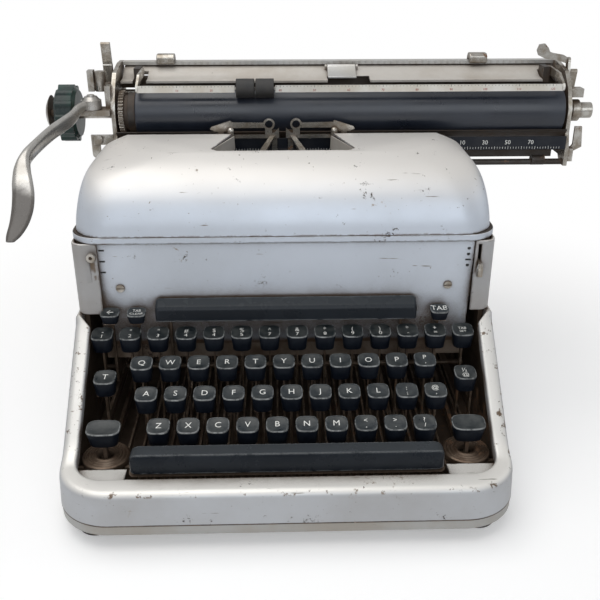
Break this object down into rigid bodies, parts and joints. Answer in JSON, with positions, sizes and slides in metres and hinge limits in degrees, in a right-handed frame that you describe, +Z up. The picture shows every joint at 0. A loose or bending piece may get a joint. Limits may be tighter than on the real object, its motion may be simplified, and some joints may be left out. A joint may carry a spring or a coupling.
{
  "type": "manual typewriter",
  "caption": "Full-size manual typewriter with a long carriage, sprung key levers, a fan of typebars that strike through a notch in the cover, return lever, paper bail and ribbon spools",
  "frame": {"origin": "on the desk, under the middle of the whole width and depth (the base's own middle is 29.8 mm to the left of it)", "axes": "X to the typist's right, Y from the typist to the back, Z up"},
  "size_m": [0.4184, 0.332, 0.2675],
  "materials": {
    "body_paint": "hammered silver-grey paint, worn",
    "frame_steel": "oiled, dusty",
    "feet_rubber": "matt",
    "screw_steel": "satin",
    "trim_metal": "satin",
    "comb_steel": "tarnished",
    "key_plastic": "dished, satin",
    "lever_steel": "tarnished",
    "bright_steel": "plated, worn",
    "platen_rubber": "smooth",
    "knob_plastic": "polished",
    "table_paint": "satin",
    "ribbon_fabric": "inked",
    "scale_paint": "black with white figures",
    "bell_brass": "tarnished",
    "cast_segment": "machined"
  },
  "bodies": {
    "base": {"base_casing": "body_paint", "base_frame": "frame_steel", "rubber_feet": "feet_rubber", "rear_housing": "body_paint", "front_panel": "body_paint", "panel_screws": "screw_steel", "trim_band": "trim_metal", "side_frames": "frame_steel", "key_comb": "comb_steel", "pivot_rods": "frame_steel", "corner_dishes": "comb_steel", "spool_cups": "frame_steel", "type_guide": "bright_steel", "ribbon": "ribbon_fabric", "carriage_rails": "frame_steel", "bell": "bell_brass"},
    "cover": {"top_cover": "body_paint"},
    "basket": {"segment": "cast_segment", "typebars": "lever_steel"},
    "moving_typebar": {"typebar_g": "lever_steel"},
    "vibrator": {"ribbon_vibrator": "bright_steel"},
    "left_spool": {"spool_left": "frame_steel"},
    "right_spool": {"spool_right": "frame_steel"},
    "number_row": {"number_keys": "key_plastic", "number_levers": "lever_steel"},
    "upper_row": {"upper_letter_keys": "key_plastic", "upper_letter_levers": "lever_steel"},
    "middle_row": {"middle_letter_keys": "key_plastic", "middle_letter_levers": "lever_steel"},
    "lower_row": {"lower_letter_keys": "key_plastic", "lower_letter_levers": "lever_steel"},
    "letter_g": {"key_g": "key_plastic"},
    "space": {"space_bar": "key_plastic"},
    "tabulator": {"tab_bar": "key_plastic"},
    "shift": {"shift_keys": "key_plastic", "shift_bail": "lever_steel"},
    "lock": {"shift_lock": "key_plastic"},
    "backspace": {"backspace_key": "key_plastic"},
    "tab_clear": {"tab_clear_key": "key_plastic"},
    "tab_set": {"tab_set_key": "key_plastic"},
    "touch": {"touch_control": "bright_steel"},
    "selector": {"ribbon_selector": "bright_steel"},
    "carriage": {"carriage_frame": "trim_metal", "paper_table": "table_paint", "margin_rail": "bright_steel", "front_scale": "scale_paint"},
    "roller": {"platen": "platen_rubber", "platen_shaft": "bright_steel", "platen_knob": "knob_plastic"},
    "button": {"variable_button": "bright_steel"},
    "lever": {"return_lever": "bright_steel"},
    "left_stop": {"margin_stop_left": "bright_steel"},
    "right_stop": {"margin_stop_right": "bright_steel"},
    "support": {"paper_support": "table_paint"},
    "bail": {"paper_bail": "bright_steel"},
    "small_rollers": {"bail_rollers": "feet_rubber"},
    "release": {"release_lever": "bright_steel"},
    "releases": {"carriage_releases": "bright_steel"},
    "drum": {"mainspring_drum": "frame_steel"},
    "wheel": {"escapement_wheel": "bell_brass"}
  },
  "joints": [
    {"name": "cover_hinge", "type": "hinge", "parent": "base", "child": "cover", "pos_m": [-0.0298, -0.0544, 0.1628], "axis": [1, 0, 0], "range_deg": [0, 75]},
    {"name": "number_row_press", "type": "hinge", "parent": "base", "child": "number_row", "pos_m": [-0.0298, 0.135, 0.032], "axis": [1, 0, 0], "range_deg": [0, 2.6], "stiffness_Nm_per_rad": 2.5, "springref_deg": -17.19},
    {"name": "upper_row_press", "type": "hinge", "parent": "base", "child": "upper_row", "pos_m": [-0.0298, 0.135, 0.032], "axis": [1, 0, 0], "range_deg": [0, 2.6], "stiffness_Nm_per_rad": 2.5, "springref_deg": -17.19},
    {"name": "middle_row_press", "type": "hinge", "parent": "base", "child": "middle_row", "pos_m": [-0.0298, 0.135, 0.032], "axis": [1, 0, 0], "range_deg": [0, 2.6], "stiffness_Nm_per_rad": 2.5, "springref_deg": -17.19},
    {"name": "lower_row_press", "type": "hinge", "parent": "base", "child": "lower_row", "pos_m": [-0.0298, 0.135, 0.032], "axis": [1, 0, 0], "range_deg": [0, 2.6], "stiffness_Nm_per_rad": 2.5, "springref_deg": -17.19},
    {"name": "letter_g_press", "type": "hinge", "parent": "base", "child": "letter_g", "pos_m": [-0.0298, 0.135, 0.032], "axis": [1, 0, 0], "range_deg": [0, 2.6], "stiffness_Nm_per_rad": 0.6, "springref_deg": -17.19},
    {"name": "space_press", "type": "hinge", "parent": "base", "child": "space", "pos_m": [-0.0298, -0.015, 0.044], "axis": [1, 0, 0], "range_deg": [0, 2.5], "stiffness_Nm_per_rad": 0.3, "springref_deg": -22.92},
    {"name": "tabulator_press", "type": "hinge", "parent": "base", "child": "tabulator", "pos_m": [-0.0298, 0.035, 0.064], "axis": [1, 0, 0], "range_deg": [0, 1.5], "stiffness_Nm_per_rad": 0.2, "springref_deg": -22.92},
    {"name": "backspace_press", "type": "hinge", "parent": "base", "child": "backspace", "pos_m": [-0.0298, 0.035, 0.064], "axis": [1, 0, 0], "range_deg": [0, 2.4], "stiffness_Nm_per_rad": 0.04, "springref_deg": -22.92},
    {"name": "tab_clear_press", "type": "hinge", "parent": "base", "child": "tab_clear", "pos_m": [-0.0298, 0.035, 0.064], "axis": [1, 0, 0], "range_deg": [0, 2.4], "stiffness_Nm_per_rad": 0.04, "springref_deg": -22.92},
    {"name": "tab_set_press", "type": "hinge", "parent": "base", "child": "tab_set", "pos_m": [-0.0298, 0.035, 0.064], "axis": [1, 0, 0], "range_deg": [0, 2.4], "stiffness_Nm_per_rad": 0.04, "springref_deg": -22.92},
    {"name": "shift_press", "type": "hinge", "parent": "base", "child": "shift", "pos_m": [-0.0298, 0.057, 0.05], "axis": [1, 0, 0], "range_deg": [0, 2.4], "stiffness_Nm_per_rad": 4, "springref_deg": -17.19},
    {"name": "lock_press", "type": "hinge", "parent": "base", "child": "lock", "pos_m": [-0.0298, -0.015, 0.044], "axis": [1, 0, 0], "range_deg": [0, 6], "stiffness_Nm_per_rad": 0.05, "springref_deg": -22.92},
    {"name": "basket_shift", "type": "slide", "parent": "base", "child": "basket", "axis": [0, 0, -1], "range_m": [0, 0.0065]},
    {"name": "typebar_swing", "type": "hinge", "parent": "basket", "child": "moving_typebar", "pos_m": [-0.03266, 0.04499, 0.14034], "axis": [-0.9977, 0.0604, 0.0315], "range_deg": [0, 86]},
    {"name": "vibrator_lift", "type": "slide", "parent": "base", "child": "vibrator", "axis": [0, 0, 1], "range_m": [0, 0.018]},
    {"name": "left_spool_turn", "type": "hinge", "parent": "base", "child": "left_spool", "pos_m": [-0.1353, -0.005, 0.188], "axis": [0, 0, 1], "continuous": true},
    {"name": "right_spool_turn", "type": "hinge", "parent": "base", "child": "right_spool", "pos_m": [0.0757, -0.005, 0.188], "axis": [0, 0, 1], "continuous": true},
    {"name": "touch_slide", "type": "slide", "parent": "base", "child": "touch", "axis": [0, 0, 1], "range_m": [-0.0118, 0]},
    {"name": "selector_slide", "type": "slide", "parent": "base", "child": "selector", "axis": [0, 0, 1], "range_m": [0, 0.01]},
    {"name": "carriage_travel", "type": "slide", "parent": "base", "child": "carriage", "axis": [-1, 0, 0], "range_m": [-0.085, 0.19]},
    {"name": "platen_turn", "type": "hinge", "parent": "carriage", "child": "roller", "pos_m": [0.0222, 0.07, 0.218], "axis": [1, 0, 0], "continuous": true},
    {"name": "variable_pull", "type": "slide", "parent": "roller", "child": "button", "axis": [-1, 0, 0], "range_m": [0, 0.003], "stiffness_N_per_m": 200},
    {"name": "line_lever", "type": "hinge", "parent": "carriage", "child": "lever", "pos_m": [-0.1718, 0.057, 0.224], "axis": [0, 0, 1], "range_deg": [0, 35], "stiffness_Nm_per_rad": 0.2, "springref_deg": -5.73},
    {"name": "left_stop_slide", "type": "slide", "parent": "carriage", "child": "left_stop", "axis": [1, 0, 0], "range_m": [-0.012, 0.232]},
    {"name": "right_stop_slide", "type": "slide", "parent": "carriage", "child": "right_stop", "axis": [1, 0, 0], "range_m": [-0.232, 0.045]},
    {"name": "bail_lift", "type": "hinge", "parent": "carriage", "child": "bail", "pos_m": [0.0222, 0.087, 0.2455], "axis": [-1, 0, 0], "range_deg": [0, 41]},
    {"name": "bail_rollers_turn", "type": "hinge", "parent": "bail", "child": "small_rollers", "pos_m": [-0.0298, 0.055, 0.2386], "axis": [1, 0, 0], "continuous": true},
    {"name": "paper_release", "type": "hinge", "parent": "carriage", "child": "release", "pos_m": [0.0222, 0.079, 0.234], "axis": [-1, 0, 0], "range_deg": [0, 14]},
    {"name": "carriage_release", "type": "hinge", "parent": "carriage", "child": "releases", "pos_m": [0.0222, 0.093, 0.229], "axis": [1, 0, 0], "range_deg": [0, 8], "stiffness_Nm_per_rad": 0.3, "springref_deg": -11.46},
    {"name": "support_lift", "type": "hinge", "parent": "carriage", "child": "support", "pos_m": [0.0172, 0.0994, 0.2474], "axis": [-1, 0, 0], "range_deg": [0, 60]},
    {"name": "drum_turn", "type": "hinge", "parent": "base", "child": "drum", "pos_m": [-0.1218, 0.125, 0.14], "axis": [0, 1, 0], "continuous": true},
    {"name": "wheel_turn", "type": "hinge", "parent": "base", "child": "wheel", "pos_m": [-0.0298, 0.125, 0.146], "axis": [0, 1, 0], "continuous": true}
  ],
  "couplings": [
    {"joint": "basket_shift", "follows": "shift_press", "m_per_rad": 0.1552},
    {"joint": "typebar_swing", "follows": "letter_g_press", "ratio": 33.077},
    {"joint": "drum_turn", "follows": "carriage_travel", "rad_per_m": 45.45},
    {"joint": "wheel_turn", "follows": "carriage_travel", "rad_per_m": 100}
  ]
}
